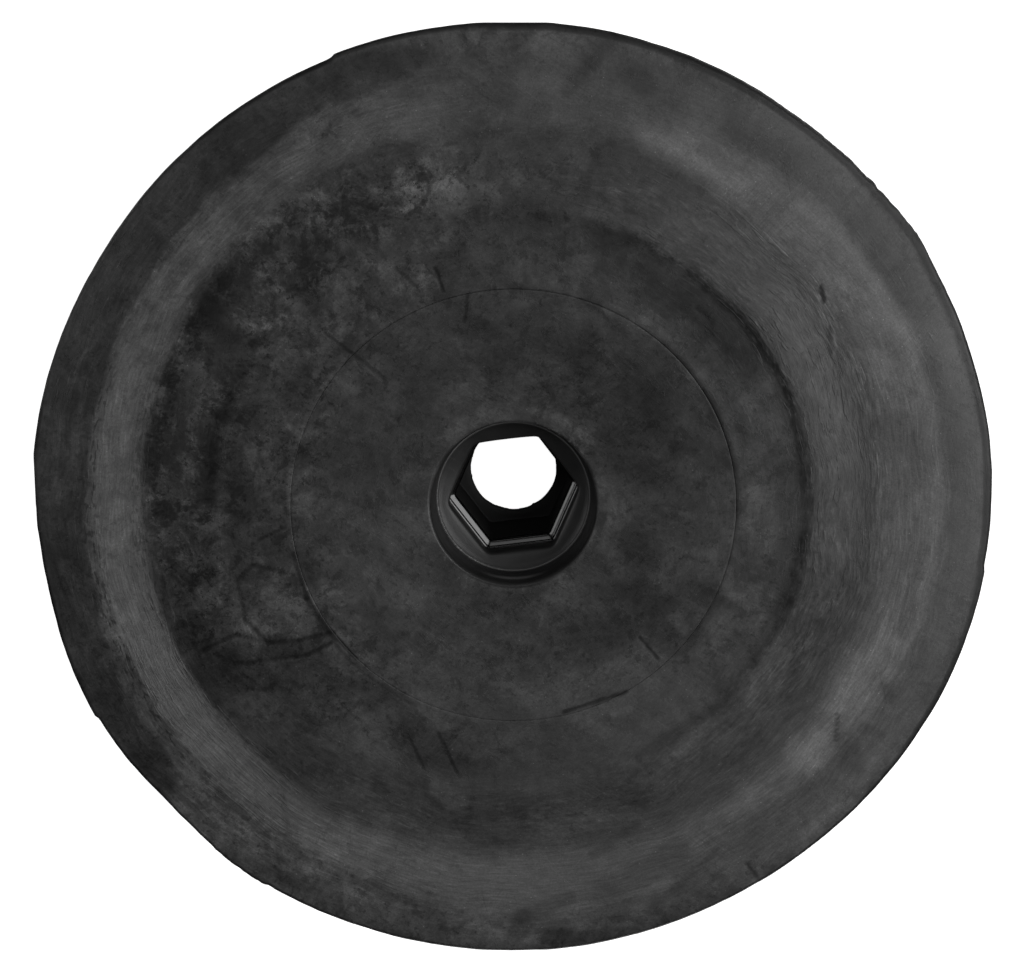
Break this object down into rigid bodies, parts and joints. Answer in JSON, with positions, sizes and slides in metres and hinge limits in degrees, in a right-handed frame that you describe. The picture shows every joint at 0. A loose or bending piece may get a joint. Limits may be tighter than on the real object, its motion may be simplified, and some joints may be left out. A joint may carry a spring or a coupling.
{
  "type": "sink plunger head",
  "caption": "Flexible rubber plunger disc with a sealing rim, a hexagonal drive pocket with a through-hole, and a necked handle socket on its back.",
  "frame": {"origin": "centre of the neck's flat end, at the bottom of the part", "axes": "+Z along the disc's axis, out of the sealing face; the hexagon's first corner is 7 degrees from +X"},
  "size_m": [0.15, 0.15, 0.0486],
  "materials": {
    "pad_rubber": "satin, grimed",
    "web_rubber": "satin, scuffed and mottled",
    "rim_rubber": "satin, rubbed",
    "plate_steel": "plain sheet",
    "insert_nylon": "smooth moulded",
    "neck_rubber": "satin moulded",
    "sleeve_nylon": "moulded",
    "band_steel": "brushed, lightly worn"
  },
  "bodies": {
    "hub": {"face_pad": "pad_rubber", "flex_web": "web_rubber", "stiffener_plate": "plate_steel", "hex_insert": "insert_nylon", "hub_shoulder": "neck_rubber", "neck_boot": "neck_rubber", "handle_sleeve": "sleeve_nylon", "neck_ferrule": "band_steel"},
    "rim": {"sealing_rim": "rim_rubber"}
  },
  "joints": [
    {"name": "rim_flex", "type": "slide", "parent": "hub", "child": "rim", "axis": [0, 0, 1], "range_m": [-0.01, 0.006], "stiffness_N_per_m": 2500, "deforming": ["flex_web"]}
  ]
}
